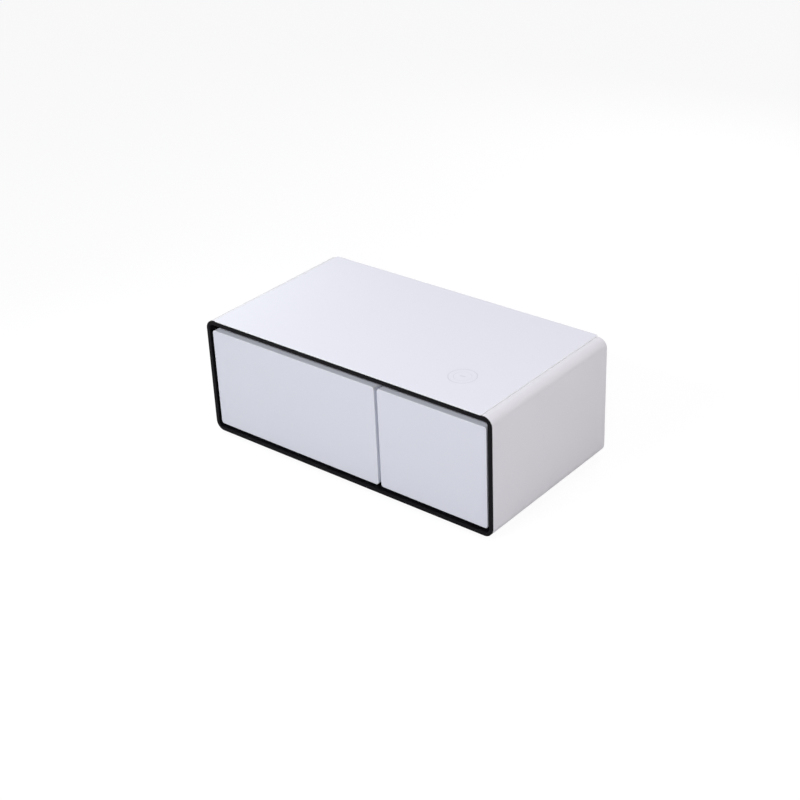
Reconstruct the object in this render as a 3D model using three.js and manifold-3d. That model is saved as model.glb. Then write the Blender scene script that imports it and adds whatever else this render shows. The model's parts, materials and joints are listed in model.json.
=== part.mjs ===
// A low coffee table with two cooled drawers, as an assembly of separate solids.
// Millimetres. The origin is on the floor under the middle: X to the right, Y to the back, Z up.

import * as THREE from "three";
import { mergeVertices } from "three/addons/utils/BufferGeometryUtils.js";
import Module from "manifold-3d";

const wasm = await Module();
wasm.setup();

// Overall size and the clearance between neighbouring pieces
const table_length = 1300;
const table_depth = 700;
const table_height = 480;
const fit_gap = 0.3;
const overrun = 5;

// Body tube: two bent side shells with a deck and a base between them
const corner_radius = 43;
const board_thickness = 12;
const shell_edge = 1.5;
const glass_overhang = 4;

// Glass top and the printed ring over the charging coil
const glass_thickness = 5;
const glass_setback = 2;
const glass_corner = 8;
const glass_edge = 0.8;
const mark_radius = 52;
const mark_width = 3.2;
const mark_depth = 0.5;
const mark_x_share = 0.309;
const mark_y_share = 0.246;

// Charging coil in its pocket in the deck, and its board under the deck
const coil_radius = 46;
const coil_bore = 11;
const coil_thickness = 5;
const coil_clearance = 1;
const lead_hole_radius = 4;
const charging_board_length = 70;
const charging_board_width = 46;
const charging_board_thickness = 1.6;
const charging_part_height = 5;

// Feet
const foot_height = 10;
const foot_radius = 22;
const foot_taper = 2;
const foot_inset_x = 75;
const foot_inset_y = 60;

// Black front frame
const frame_face = 16;
const frame_proud = 6;
const frame_edge = 2;

// Drawer fronts
const front_recess = 5;
const front_side_gap = 6;
const front_bottom_gap = 12.5;
const front_centre_gap = 13;
const finger_gap = 25;
const left_front_share = 0.6243;
const front_corner = 11.5;
const front_edge = 2.5;
const land_depth = 44;
const heel_depth = 20;
const grip_depth = 18;
const skin_wall = 2.5;
const inner_panel_thickness = 2.5;

// Gasket between a front and the face plate
const gasket_inset = 3;
const gasket_width = 14;
const gasket_depth = 8;
const gasket_corner = 8;

// Cold box: face plate, liners, foam and bulkhead
const face_plate_thickness = 1.5;
const mouth_inset = 18;
const liner_wall = 2.5;
const back_foam = 32;
const wiring_space = 16;
const bulkhead_thickness = 1.5;

// Cold plates and lamps in the liners
const plate_margin = 60;
const plate_thickness = 3;
const plate_rib_height = 6;
const plate_rib_depth = 2.5;
const plate_rib_count = 6;
const lamp_length = 120;
const lamp_width = 18;
const lamp_height = 5;
const lamp_corner = 4;
const lamp_setback = 45;

// Telescopic slides
const rail_height = 45;
const rail_wall = 1.5;
const rail_play = 0.5;
const slide_thickness = 13;
const rail_margin = 16;

// Drawer carrier and bin
const floor_clearance = 8;
const carrier_wall = 1.5;
const carrier_height = 60;
const bin_wall = 2.5;
const bin_lip = 4;
const bin_lip_thickness = 3;
const bin_corner = 16;
const bin_headroom = 16;

// Machine compartment and back panel
const machine_depth = 140;
const panel_recess = 6;
const panel_thickness = 2;
const slot_width = 6;
const slot_length = 90;
const slot_pitch = 16;
const slot_count = 12;
const slot_rise = 60;
const slot_group_share = 0.2;

// Compressor on its plate
const compressor_radius = 60;
const compressor_height = 158;
const compressor_seam = 3;
const compressor_place_share = 0.3;
const port_radius = 5;
const port_height = 14;
const port_offset = 30;
const mount_length = 180;
const mount_width = 120;
const mount_thickness = 3;
const mount_leg_radius = 9;
const mount_leg_height = 12;
const mount_leg_inset = 16;

// Condenser and fan
const condenser_place_share = 0.06;
const condenser_width = 240;
const condenser_height = 160;
const condenser_setback = 24;
const header_radius = 8;
const flat_tube_count = 7;
const flat_tube_depth = 14;
const flat_tube_thickness = 2;
const fin_folds = 16;
const fin_thickness = 0.8;
const fan_size = 120;
const fan_depth = 25;
const fan_bore_radius = 56;
const fan_corner = 8;
const fan_hub_radius = 20;
const fan_hub_depth = 16;
const fan_blade_tip = 53;
const fan_blade_chord = 24;
const fan_blade_thickness = 1.8;
const fan_blade_count = 7;
const fan_blade_angle = Math.PI / 6;
const fan_pin_radius = 2;
const fan_pin_length = 12;
const fan_pin_play = 0.35;
const stator_thickness = 3;
const spoke_width = 6;
const fan_play = 1;

// Pipes and filter drier
const pipe_radius = 3;
const pipe_bend = 18;
const pipe_step_share = 5;
const pipe_hole_play = 1;
const drier_radius = 9;
const drier_length = 80;
const drier_neck = 10;
const capillary_rise = 40;
const capillary_place_share = 0.45;
const link_left_share = 0.7;
const link_right_share = 0.65;
const suction_place_share = 0.5;
const link_height_share = 0.83;
const link_standoff = 28;
const suction_height_share = 0.72;
const discharge_rise = 42;

// Control box and power inlet
const control_place_share = 0.2;
const control_width = 180;
const control_height = 120;
const control_depth = 38;
const control_wall = 2;
const control_rise = 180;
const post_size = 8;
const post_height = 6;
const control_board_thickness = 1.6;
const control_board_margin = 6;
const control_part_height = 16;
const inlet_place_share = 0.38;
const inlet_rise = 58;
const inlet_width = 28;
const inlet_height = 20;
const inlet_depth = 26;
const inlet_flange = 6;
const inlet_flange_thickness = 2;
const inlet_socket_margin = 3;
const inlet_socket_depth = 16;
const inlet_pin = 3;
const inlet_pin_pitch = 7;

// Planes and edges that several pieces share
const half_length = table_length / 2;
const half_depth = table_depth / 2;
const front_plane = -half_depth;
const body_bottom = foot_height;
const body_top = table_height - glass_thickness - fit_gap;
const base_top = body_bottom + board_thickness;
const deck_bottom = body_top - board_thickness;
const seam_x = half_length - corner_radius;
const shell_front = front_plane + frame_proud + fit_gap;
const shell_back = half_depth - glass_overhang;
const tube_inset = board_thickness + fit_gap;
const front_face = front_plane + front_recess;
const land_back = front_face + land_depth;
const front_back = land_back + heel_depth;
const gasket_back = front_back + gasket_depth;
const plate_front = gasket_back + fit_gap;
const cavity_front = plate_front + face_plate_thickness + fit_gap;
const machine_back = shell_back - panel_recess - panel_thickness;
const machine_front = machine_back - machine_depth;
const machine_middle = machine_back - machine_depth / 2;
const foam_back = machine_front - bulkhead_thickness - fit_gap;
const cavity_back = foam_back - back_foam - liner_wall - fit_gap;
const front_bottom = body_bottom + frame_face + front_bottom_gap;
const front_top = body_top - frame_face - finger_gap;
const heel_top = front_top - grip_depth;
const cavity_bottom = front_bottom + mouth_inset;
const cavity_top = heel_top - mouth_inset;
const cavity_height = cavity_top - cavity_bottom;
const rail_front = cavity_front + rail_margin;
const rail_back = cavity_back - rail_margin;
const carrier_bottom = cavity_bottom + floor_clearance;
const rail_middle = carrier_bottom + rail_height / 2;
const cold_plate_front = cavity_back - fit_gap - plate_thickness;

// The two bays, each with the middle and width of its drawer front
const front_span = table_length - 2 * (frame_face + front_side_gap);
const left_width = (front_span - front_centre_gap) * left_front_share;
const right_width = front_span - front_centre_gap - left_width;
const left_bay = { name: "left", width: left_width, middle: (left_width - front_span) / 2 };
const right_bay = { name: "right", width: right_width, middle: (front_span - right_width) / 2 };
const bays = [left_bay, right_bay];
for (const bay of bays) bay.half = bay.width / 2 - mouth_inset;

// Finishes
const colours = {
  white_paint: [0xe9e9ef, 0.22, 0],
  white_glass: [0xf0f0f6, 0.08, 0],
  front_paint: [0xd9dbe4, 0.3, 0],
  mark_grey: [0xb4b4be, 0.4, 0],
  black_paint: [0x17171a, 0.4, 0.2],
  board: [0xb99a72, 0.7, 0],
  rubber: [0x1b1b1c, 0.85, 0],
  gasket: [0x8f9296, 0.7, 0],
  liner: [0xeeeff0, 0.35, 0],
  foam: [0xe6d9a8, 0.9, 0],
  steel: [0xb5b8bc, 0.4, 0.9],
  aluminium: [0xc6c9cc, 0.35, 0.9],
  copper: [0xb87348, 0.35, 0.9],
  black_plastic: [0x1f2022, 0.5, 0],
  grey_plastic: [0x8b8e92, 0.55, 0],
  bin: [0xdfe3e8, 0.25, 0],
  lens: [0xf7f6ee, 0.3, 0],
  circuit: [0x1f5a3a, 0.5, 0],
};

function piece(name, look, geometry) {
  const [color, roughness, metalness] = colours[look];
  const material = new THREE.MeshStandardMaterial({ color, roughness, metalness });
  const mesh = new THREE.Mesh(geometry, material);
  mesh.name = name;
  return mesh;
}

// Booleans
function solid(geometry) {
  const bare = geometry.clone();
  bare.deleteAttribute("normal");
  bare.deleteAttribute("uv");
  const merged = mergeVertices(bare);
  const mesh = new wasm.Mesh({
    numProp: 3,
    vertProperties: new Float32Array(merged.attributes.position.array),
    triVerts: new Uint32Array(merged.index.array),
  });
  return new wasm.Manifold(mesh);
}

function geometryOf(shape) {
  const mesh = shape.getMesh();
  const geometry = new THREE.BufferGeometry();
  geometry.setAttribute("position", new THREE.BufferAttribute(mesh.vertProperties, 3));
  geometry.setIndex(new THREE.BufferAttribute(mesh.triVerts, 1));
  geometry.computeVertexNormals();
  return geometry;
}

function cut(body, ...tools) {
  return geometryOf(tools.reduce((left, tool) => left.subtract(solid(tool)), solid(body)));
}

function join(body, ...others) {
  return geometryOf(others.reduce((sum, other) => sum.add(solid(other)), solid(body)));
}

function trim(body, tool) {
  return geometryOf(solid(body).intersect(solid(tool)));
}

// Outlines are lists of points, with each rounded corner as an arc
function arc(x, y, radius, from, to, steps) {
  const points = [];
  for (let i = 0; i <= steps; i += 1) {
    const angle = from + ((to - from) * i) / steps;
    points.push(new THREE.Vector2(x + radius * Math.cos(angle), y + radius * Math.sin(angle)));
  }
  return points;
}

function rounded(left, right, low, high, radius, steps) {
  const quarter = Math.PI / 2;
  const corners = [
    [right - radius, low + radius, -quarter],
    [right - radius, high - radius, 0],
    [left + radius, high - radius, quarter],
    [left + radius, low + radius, 2 * quarter],
  ];
  return corners.flatMap(([x, y, start]) => arc(x, y, radius, start, start + quarter, steps));
}

function rectangle(left, right, low, high) {
  return [
    new THREE.Vector2(left, low),
    new THREE.Vector2(right, low),
    new THREE.Vector2(right, high),
    new THREE.Vector2(left, high),
  ];
}

// Cross-section of the body tube, drawn in by an inset
function tubeOutline(inset, steps) {
  const radius = corner_radius - inset;
  const side = half_length - inset;
  return rounded(-side, side, body_bottom + inset, body_top - inset, radius, steps);
}

function shapeOf(outline, holes) {
  const shape = new THREE.Shape(outline);
  for (const hole of holes) shape.holes.push(new THREE.Path(hole));
  return shape;
}

// Solids from outlines: a slab stands across Y, a plate lies across Z
function slab(outline, holes, front, back) {
  const depth = back - front;
  const geometry = new THREE.ExtrudeGeometry(shapeOf(outline, holes), { depth, bevelEnabled: false });
  return geometry.rotateX(Math.PI / 2).translate(0, back, 0);
}

function plate(outline, holes, bottom, top) {
  const depth = top - bottom;
  const geometry = new THREE.ExtrudeGeometry(shapeOf(outline, holes), { depth, bevelEnabled: false });
  return geometry.translate(0, 0, bottom);
}

function softEdged(outline, holes, thickness, edge, bevelSegments) {
  return new THREE.ExtrudeGeometry(shapeOf(outline, holes), {
    depth: thickness - 2 * edge,
    bevelEnabled: true,
    bevelThickness: edge,
    bevelSize: edge,
    bevelOffset: -edge,
    bevelSegments,
  }).translate(0, 0, edge);
}

function softSlab(outline, holes, front, back, edge, bevelSegments) {
  const geometry = softEdged(outline, holes, back - front, edge, bevelSegments);
  return geometry.rotateX(Math.PI / 2).translate(0, back, 0);
}

function block(low, high) {
  const size = high.map((value, i) => value - low[i]);
  const middle = high.map((value, i) => (value + low[i]) / 2);
  return new THREE.BoxGeometry(...size).translate(...middle);
}

function upright(x, y, bottom, top, radius, sides) {
  const geometry = new THREE.CylinderGeometry(radius, radius, top - bottom, sides);
  return geometry.rotateX(Math.PI / 2).translate(x, y, (bottom + top) / 2);
}

function drill(x, z, front, back, radius, sides) {
  const geometry = new THREE.CylinderGeometry(radius, radius, back - front, sides);
  return geometry.translate(x, (front + back) / 2, z);
}

function turned(profile, sides) {
  const points = profile.map(([radius, height]) => new THREE.Vector2(radius, height));
  return new THREE.LatheGeometry(points, sides).rotateX(Math.PI / 2);
}

// Body tube
function shellOutline(side) {
  const quarter = Math.PI / 2;
  const steps = 10;
  const inner = corner_radius - board_thickness;
  const low = body_bottom + corner_radius;
  const high = body_top - corner_radius;
  const outline = [
    ...arc(seam_x, low, corner_radius, -quarter, 0, steps),
    ...arc(seam_x, high, corner_radius, 0, quarter, steps),
    ...arc(seam_x, high, inner, quarter, 0, steps),
    ...arc(seam_x, low, inner, 0, -quarter, steps),
  ];
  return outline.map((point) => new THREE.Vector2(side * point.x, point.y));
}

function shell(name, side) {
  return piece(name, "white_paint", softSlab(shellOutline(side), [], shell_front, shell_back, shell_edge, 1));
}

const mark_x = table_length * mark_x_share;
const mark_y = -table_depth * mark_y_share;

function topDeck() {
  const half = seam_x - fit_gap;
  const pocket = coil_thickness + 2 * fit_gap;
  const board = block([-half, shell_front, deck_bottom], [half, shell_back, body_top]);
  const coilPocket = upright(
    mark_x, mark_y, body_top - pocket, body_top + overrun, coil_radius + coil_clearance, 32,
  );
  const leadHole = upright(mark_x, mark_y, deck_bottom - overrun, body_top, lead_hole_radius, 10);
  return piece("top_deck", "board", cut(board, coilPocket, leadHole));
}

function baseBoard() {
  const half = seam_x - fit_gap;
  return piece("base_board", "board", block([-half, shell_front, body_bottom], [half, shell_back, base_top]));
}

function ring(outer, inner, bottom, top, sides) {
  const full = 2 * Math.PI;
  const step = full / sides;
  const rim = arc(mark_x, mark_y, outer, 0, full - step, sides - 1);
  const bore = arc(mark_x, mark_y, inner, 0, full - step, sides - 1);
  return plate(rim, [bore], bottom, top);
}

function glassTop() {
  const front = front_plane + glass_setback;
  const outline = rounded(-seam_x, seam_x, front, half_depth, glass_corner, 4);
  const bottom = table_height - glass_thickness;
  const sheet = softEdged(outline, [], glass_thickness, glass_edge, 1).translate(0, 0, bottom);
  const inner = mark_radius - mark_width;
  const groove = ring(
    mark_radius + fit_gap, inner - fit_gap, table_height - mark_depth, table_height + overrun, 48,
  );
  return piece("glass_top", "white_glass", cut(sheet, groove));
}

function chargingMark() {
  const inner = mark_radius - mark_width;
  const bottom = table_height - mark_depth + fit_gap;
  return piece("charging_ring_mark", "mark_grey", ring(mark_radius, inner, bottom, table_height, 48));
}

function chargingCoil() {
  const bottom = body_top - coil_thickness - fit_gap;
  return piece("charging_coil", "copper", ring(coil_radius, coil_bore, bottom, body_top - fit_gap, 24));
}

function chargingBoard() {
  const top = deck_bottom - fit_gap;
  const bottom = top - charging_board_thickness;
  const x = charging_board_length / 2;
  const y = charging_board_width / 2;
  const board = block([-x, -y, bottom], [x, y, top]);
  const part = block([-x / 2, -y / 2, bottom - charging_part_height], [0, y / 2, top]);
  const chip = block([x / 3, -y / 2, bottom - charging_part_height / 2], [x / 2 + x / 4, y / 2, top]);
  const mesh = piece("charging_board", "circuit", join(board, part, chip));
  mesh.position.set(mark_x, mark_y, 0);
  return mesh;
}

function foot(name, x, y) {
  const top = foot_height - fit_gap;
  const sole = foot_radius - foot_taper;
  const profile = [[0, 0], [sole, 0], [foot_radius, foot_taper], [foot_radius, top], [0, top]];
  const mesh = piece(name, "rubber", turned(profile, 20));
  mesh.position.set(x, y, 0);
  return mesh;
}

function feet() {
  const group = new THREE.Group();
  const places = [["left", -1], ["right", 1]].flatMap(([across, x]) => [
    [`foot_front_${across}`, x, -1],
    [`foot_back_${across}`, x, 1],
  ]);
  for (const [name, x, y] of places) {
    group.add(foot(name, x * (half_length - foot_inset_x), y * (half_depth - foot_inset_y)));
  }
  return group;
}

function frontFrame() {
  const steps = 10;
  const sleeveBack = plate_front - fit_gap;
  const faceBack = front_plane + frame_proud;
  const opening = tubeOutline(frame_face, steps);
  const blank = softSlab(
    tubeOutline(0, steps), [opening], front_plane, faceBack + 2 * frame_edge, frame_edge, 2,
  );
  const side = half_length + overrun;
  const keep = block([-side, front_plane - overrun, 0], [side, faceBack, table_height]);
  const sleeve = slab(tubeOutline(tube_inset, steps), [opening], front_plane + frame_edge, sleeveBack);
  return piece("front_frame", "black_paint", join(trim(blank, keep), sleeve));
}

function backPanel() {
  const outline = tubeOutline(tube_inset, 4);
  const quarter = Math.PI / 2;
  const radius = slot_width / 2;
  const low = base_top + slot_rise;
  const holes = [];
  for (const side of [-1, 1]) {
    for (let i = 0; i < slot_count; i += 1) {
      const middle = side * slot_group_share * table_length + (i - (slot_count - 1) / 2) * slot_pitch;
      holes.push([
        ...arc(middle, low + radius, radius, -2 * quarter, 0, 3),
        ...arc(middle, low + slot_length - radius, radius, 0, 2 * quarter, 3),
      ]);
    }
  }
  const x = -inlet_place_share * table_length;
  const z = base_top + inlet_rise;
  const half = inlet_width / 2 + fit_gap;
  const rise = inlet_height / 2 + fit_gap;
  holes.push(rectangle(x - half, x + half, z - rise, z + rise));
  const back = machine_back + panel_thickness;
  const cutters = holes.map((hole) => slab(hole, [], machine_back - overrun, back + overrun));
  return piece("back_panel", "steel", cut(slab(outline, [], machine_back, back), ...cutters));
}

// Cold box
function mouths(inset) {
  return bays.map((bay) => rectangle(
    bay.middle - bay.half - inset, bay.middle + bay.half + inset, cavity_bottom - inset, cavity_top + inset,
  ));
}

const hole_radius = pipe_radius + pipe_hole_play;
const capillary_x = left_bay.middle - left_bay.half * capillary_place_share;
const link_left_x = left_bay.middle + left_bay.half * link_left_share;
const link_right_x = right_bay.middle - right_bay.half * link_right_share;
const suction_x = right_bay.middle + right_bay.half * suction_place_share;
const link_z = cavity_bottom + cavity_height * link_height_share;
const suction_z = cavity_bottom + cavity_height * suction_height_share;
const header_top = base_top + fit_gap + condenser_height;
const capillary_z = header_top + 2 * fit_gap + drier_length + capillary_rise;

function pipeHoles(bay, offset, front, back) {
  const places = bay === left_bay
    ? [[capillary_x, capillary_z], [link_left_x, link_z]]
    : [[link_right_x, link_z], [suction_x, suction_z]];
  return places.map(([x, z]) => drill(x - offset, z, front, back, hole_radius, 10));
}

function facePlate() {
  const back = plate_front + face_plate_thickness;
  const sheet = slab(tubeOutline(tube_inset, 6), [], plate_front, back);
  const openings = mouths(0).map((outline) => slab(outline, [], plate_front - overrun, back + overrun));
  return piece("face_plate", "black_paint", cut(sheet, ...openings));
}

function insulation() {
  const top = deck_bottom - wiring_space;
  const full = slab(tubeOutline(tube_inset, 4), [], cavity_front, foam_back);
  const keep = block([-half_length, front_plane, base_top + fit_gap], [half_length, half_depth, top]);
  const outset = liner_wall + fit_gap;
  const pocketBack = cavity_back + outset;
  const pockets = mouths(outset).map((outline) => slab(outline, [], cavity_front - overrun, pocketBack));
  const holes = bays.flatMap((bay) => pipeHoles(bay, 0, cavity_back, foam_back + overrun));
  return piece("insulation", "foam", cut(trim(full, keep), ...pockets, ...holes));
}

function bulkhead() {
  const front = foam_back + fit_gap;
  const sheet = slab(tubeOutline(tube_inset, 4), [], front, machine_front);
  const holes = bays.flatMap((bay) => pipeHoles(bay, 0, front - overrun, machine_front + overrun));
  return piece("bulkhead", "steel", cut(sheet, ...holes));
}

// Bays: what is fixed in a liner is drawn about the bay's middle
function liner(bay) {
  const outer = bay.half + liner_wall;
  const box = block(
    [-outer, cavity_front, cavity_bottom - liner_wall],
    [outer, cavity_back + liner_wall, cavity_top + liner_wall],
  );
  const hollow = block(
    [-bay.half, cavity_front - overrun, cavity_bottom],
    [bay.half, cavity_back, cavity_top],
  );
  const holes = pipeHoles(bay, bay.middle, cavity_back - overrun, cavity_back + liner_wall + overrun);
  return piece(`${bay.name}_liner`, "liner", cut(box, hollow, ...holes));
}

function coldPlate(bay) {
  const half = bay.half - plate_margin;
  const low = cavity_bottom + plate_margin / 2;
  const high = cavity_top - plate_margin / 2;
  const sheet = block([-half, cold_plate_front, low], [half, cavity_back - fit_gap, high]);
  const pitch = (high - low) / plate_rib_count;
  const ribs = [];
  for (let i = 0; i < plate_rib_count; i += 1) {
    const z = low + pitch * (i + 1 / 2);
    const reach = half - pitch / 2;
    ribs.push(block(
      [-reach, cold_plate_front - plate_rib_depth, z - plate_rib_height / 2],
      [reach, cavity_back - fit_gap, z + plate_rib_height / 2],
    ));
  }
  return piece(`${bay.name}_cold_plate`, "aluminium", join(sheet, ...ribs));
}

function lamp(bay) {
  const front = cavity_front + lamp_setback;
  const half = lamp_length / 2;
  const outline = rounded(-half, half, front, front + lamp_width, lamp_corner, 3);
  const top = cavity_top - fit_gap;
  return piece(`${bay.name}_lamp`, "lens", plate(outline, [], top - lamp_height, top));
}

// A channel's section: a web with two flanges, at distances from the liner wall towards the bay
function channel(bay, side, name, near, far, half, webNear) {
  const wall = rail_wall;
  const web = webNear ? near : far;
  const tip = webNear ? far : near;
  const inside = webNear ? near + wall : far - wall;
  const section = [
    [web, -half], [tip, -half], [tip, wall - half], [inside, wall - half],
    [inside, half - wall], [tip, half - wall], [tip, half], [web, half],
  ];
  const outline = section.map(([reach, rise]) => (
    new THREE.Vector2(side * (bay.half - reach), rail_middle + rise)
  ));
  return piece(name, "steel", slab(outline, [], rail_front, rail_back));
}

// Three nested channels on each side: fixed, half-travelling and full-travelling
function slides(bay) {
  const step = rail_wall + rail_play;
  const half = rail_height / 2;
  const sides = [["left", -1], ["right", 1]];
  const far = slide_thickness - step;
  return sides.flatMap(([word, side]) => {
    const [outer, middle, inner] = ["outer", "middle", "inner"].map((part) => `${bay.name}_${part}_rail_${word}`);
    return [
      channel(bay, side, outer, fit_gap, far, half, true),
      channel(bay, side, middle, fit_gap + step, far, half - step, true),
      channel(bay, side, inner, fit_gap + 2 * step, slide_thickness, half - 2 * step, false),
    ];
  });
}

// A drawer front is a land that fills its opening and a lower heel behind it, where fingers reach
function frontSolid(bay, inset, front, landBack, heelBack) {
  const half = bay.width / 2 - inset;
  const low = front_bottom + inset;
  const radius = front_corner - inset;
  const land = rounded(-half, half, low, front_top - inset, radius, 4);
  const heel = rounded(-half, half, low, heel_top - inset, radius, 4);
  return { land, heel, front, landBack, heelBack };
}

function frontSkin(bay) {
  const skinBack = front_back - inner_panel_thickness - fit_gap;
  const outer = frontSolid(bay, 0, front_face, land_back, skinBack);
  const land = softSlab(outer.land, [], front_face, land_back, front_edge, 3);
  const heel = slab(outer.heel, [], land_back - 2 * front_edge, skinBack);
  const inner = frontSolid(bay, skin_wall, front_face + skin_wall, land_back - skin_wall, skinBack + overrun);
  const hollow = join(
    slab(inner.land, [], inner.front, inner.landBack),
    slab(inner.heel, [], inner.front, inner.heelBack),
  );
  return piece(`${bay.name}_front_skin`, "front_paint", cut(join(land, heel), hollow));
}

function frontCore(bay) {
  const inset = skin_wall + fit_gap;
  const back = front_back - inner_panel_thickness - fit_gap;
  const core = frontSolid(bay, inset, front_face + inset, land_back - inset, back);
  return piece(`${bay.name}_front_core`, "foam", join(
    slab(core.land, [], core.front, core.landBack),
    slab(core.heel, [], core.front, core.heelBack),
  ));
}

function innerPanel(bay) {
  const outline = frontSolid(bay, 0, front_face, land_back, front_back).heel;
  const front = front_back - inner_panel_thickness;
  return piece(`${bay.name}_inner_panel`, "liner", slab(outline, [], front, front_back));
}

function gasket(bay) {
  const corner = gasket_corner;
  const frameAt = (inset, radius) => {
    const half = bay.width / 2 - inset;
    return rounded(-half, half, front_bottom + inset, heel_top - inset, radius, 3);
  };
  const outer = frameAt(gasket_inset, corner);
  const inner = frameAt(gasket_inset + gasket_width, corner / 2);
  return piece(`${bay.name}_gasket`, "gasket", slab(outer, [inner], front_back + fit_gap, gasket_back));
}

const carrier_front = front_back + fit_gap;

function carrier(bay) {
  const half = bay.half - slide_thickness - fit_gap;
  const inside = half - carrier_wall;
  const top = carrier_bottom + carrier_height;
  const tray = block([-half, carrier_front, carrier_bottom], [half, rail_back, top]);
  const hollow = block(
    [-inside, carrier_front + carrier_wall, carrier_bottom + carrier_wall],
    [inside, rail_back - carrier_wall, top + overrun],
  );
  return piece(`${bay.name}_carrier`, "steel", cut(tray, hollow));
}

function bin(bay) {
  const half = bay.half - slide_thickness - carrier_wall - 2 * fit_gap;
  const front = carrier_front + carrier_wall + bin_lip;
  const back = rail_back - carrier_wall - bin_lip;
  const bottom = carrier_bottom + carrier_wall + fit_gap;
  const top = cavity_top - bin_headroom;
  const planAt = (inset) => (
    rounded(-half + inset, half - inset, front + inset, back - inset, bin_corner - inset, 4)
  );
  const tub = plate(planAt(0), [], bottom, top);
  const lip = plate(planAt(-bin_lip + fit_gap), [], top - bin_lip_thickness, top);
  const hollow = plate(planAt(bin_wall), [], bottom + bin_wall, top + overrun);
  return piece(`${bay.name}_bin`, "bin", cut(join(tub, lip), hollow));
}

function bayGroup(bay) {
  const group = new THREE.Group();
  group.add(liner(bay), coldPlate(bay), lamp(bay), ...slides(bay));
  group.add(frontSkin(bay), frontCore(bay), innerPanel(bay), gasket(bay), carrier(bay), bin(bay));
  group.position.x = bay.middle;
  return group;
}

// Compressor: its can is drawn in shares of its radius and its height
const can_foot_shares = [[0, 0], [0.72, 0], [0.92, 0.04], [1, 0.12]];
const can_dome_shares = [[1, 0.76], [0.88, 0.89], [0.6, 0.97], [0, 1]];
const can_seam_share = 0.42;
const compressor_x = table_length * compressor_place_share;
const mount_top = base_top + fit_gap + mount_leg_height + mount_thickness;
const compressor_bottom = mount_top + fit_gap;
const port_top = compressor_bottom + compressor_height + port_height;

function compressorMount() {
  const x = mount_length / 2;
  const y = mount_width / 2;
  const bottom = base_top + fit_gap;
  const sheet = block([-x, -y, mount_top - mount_thickness], [x, y, mount_top]);
  const legs = [-1, 1].flatMap((across) => [-1, 1].map((along) => upright(
    across * (x - mount_leg_inset), along * (y - mount_leg_inset), bottom, mount_top, mount_leg_radius, 12,
  )));
  const mesh = piece("compressor_mount", "steel", join(sheet, ...legs));
  mesh.position.set(compressor_x, machine_middle, 0);
  return mesh;
}

function compressor() {
  const scaled = ([across, up]) => [across * compressor_radius, up * compressor_height];
  const seam = compressor_height * can_seam_share;
  const bulge = compressor_radius + compressor_seam;
  const can = turned([
    ...can_foot_shares.map(scaled),
    [compressor_radius, seam - compressor_seam],
    [bulge, seam - compressor_seam],
    [bulge, seam + compressor_seam],
    [compressor_radius, seam + compressor_seam],
    ...can_dome_shares.map(scaled),
  ], 20);
  const middle = compressor_height / 2;
  const ports = [-1, 1].map((side) => (
    upright(side * port_offset, 0, middle, compressor_height + port_height, port_radius, 10)
  ));
  const mesh = piece("compressor", "black_paint", join(can, ...ports));
  mesh.position.set(compressor_x, machine_middle, compressor_bottom);
  return mesh;
}

// Condenser: two upright headers, flat tubes between them and a folded fin in each space
const condenser_x = table_length * condenser_place_share;
const condenser_y = machine_back - condenser_setback;

function foldedFin(left, right, low, high) {
  const lean = [];
  for (let i = 0; i <= fin_folds; i += 1) {
    const x = left + ((right - left) * i) / fin_folds;
    lean.push([x, i % 2 ? high - fin_thickness : low]);
  }
  const under = lean.map(([x, z]) => new THREE.Vector2(x, z));
  const over = lean.map(([x, z]) => new THREE.Vector2(x, z + fin_thickness)).reverse();
  return slab([...under, ...over], [], -flat_tube_depth / 2 + fit_gap, flat_tube_depth / 2 - fit_gap);
}

function condenser() {
  const half = condenser_width / 2;
  const low = base_top + fit_gap;
  const headers = [-half, half].map((x) => upright(x, 0, low, header_top, header_radius, 12));
  const pitch = condenser_height / (flat_tube_count + 1);
  const rises = Array.from({ length: flat_tube_count }, (_, i) => low + pitch * (i + 1));
  const thick = flat_tube_thickness / 2;
  const depth = flat_tube_depth / 2;
  const tubes = rises.map((z) => block([-half, -depth, z - thick], [half, depth, z + thick]));
  const reach = half - header_radius - fin_thickness;
  const fins = rises.slice(1).map((z) => foldedFin(-reach, reach, z - pitch, z));
  const mesh = piece("condenser", "aluminium", join(...headers, ...tubes, ...fins));
  mesh.position.set(condenser_x, condenser_y, 0);
  return mesh;
}

// Fan: drawn about its own axis, which lies along Y, with the stator behind the rotor
const fan_y = condenser_y - header_radius - fan_play - fan_depth / 2;
const fan_z = base_top + fit_gap + fan_size / 2;
const stator_front = fan_depth / 2 - stator_thickness;

function fanFrame() {
  const half = fan_size / 2;
  const full = 2 * Math.PI;
  const steps = 32;
  const bore = arc(0, 0, fan_bore_radius, 0, full - full / steps, steps - 1);
  const frame = slab(rounded(-half, half, -half, half, fan_corner, 3), [bore], -fan_depth / 2, fan_depth / 2);
  const stator = drill(0, 0, stator_front, fan_depth / 2, fan_hub_radius, 16);
  const reach = (half + fan_bore_radius) / 2;
  const breadth = spoke_width / 2;
  const spokes = [[reach, breadth], [breadth, reach]].map(([x, z]) => (
    block([-x, stator_front, -z], [x, fan_depth / 2, z])
  ));
  const pin_root = stator_front + stator_thickness / 2;
  const pin = drill(0, 0, stator_front - fan_pin_length, pin_root, fan_pin_radius, 10);
  const mesh = piece("fan_frame", "black_plastic", join(frame, stator, ...spokes, pin));
  mesh.position.set(condenser_x, fan_y, fan_z);
  return mesh;
}

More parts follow.
